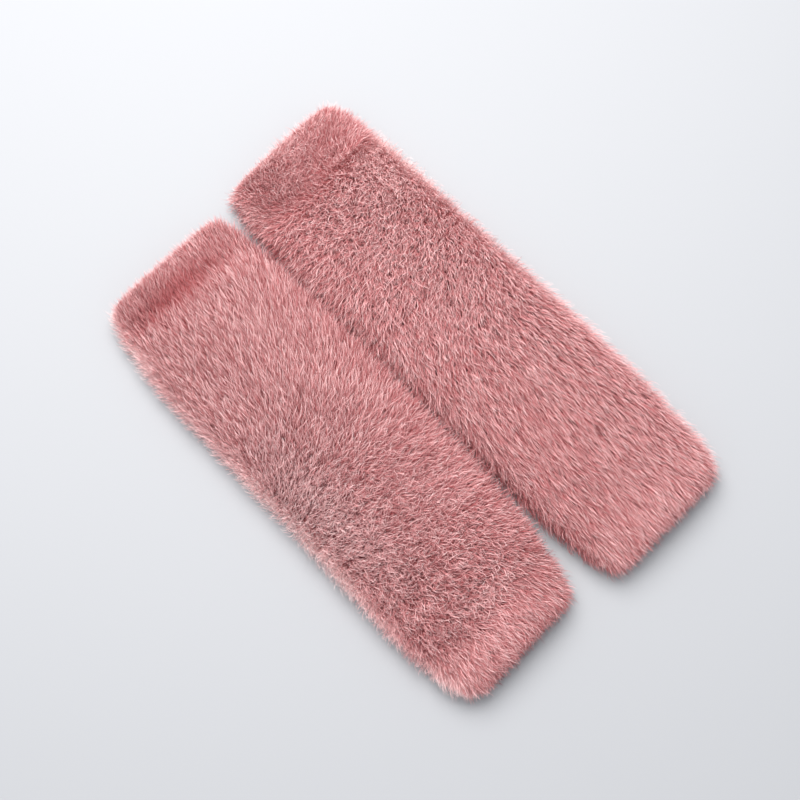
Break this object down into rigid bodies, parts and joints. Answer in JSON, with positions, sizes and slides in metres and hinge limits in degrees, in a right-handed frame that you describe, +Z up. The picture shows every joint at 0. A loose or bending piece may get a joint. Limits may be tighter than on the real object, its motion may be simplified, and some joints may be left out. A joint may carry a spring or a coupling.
{
  "type": "pair of leg warmers",
  "caption": "Fluffy knitted leg warmers laid flat beside each other: plain open-ended tubes, a soft cuff at each end, deep combed pile all over.",
  "frame": {"origin": "on the floor under the middle of the pair's bounding box", "axes": "+Z up from the floor; +Y along the leg warmers, towards their upper cuffs; +X across, from the left leg warmer to the right one"},
  "size_m": [0.2692, 0.4259, 0.0288],
  "materials": {
    "pink_pile": "long soft dusty-pink pile on a fine knit"
  },
  "bodies": {
    "root": {"left_upper_cuff": "pink_pile", "left_leg": "pink_pile", "left_lower_cuff": "pink_pile", "right_upper_cuff": "pink_pile", "right_leg": "pink_pile", "right_lower_cuff": "pink_pile"}
  },
  "joints": []
}
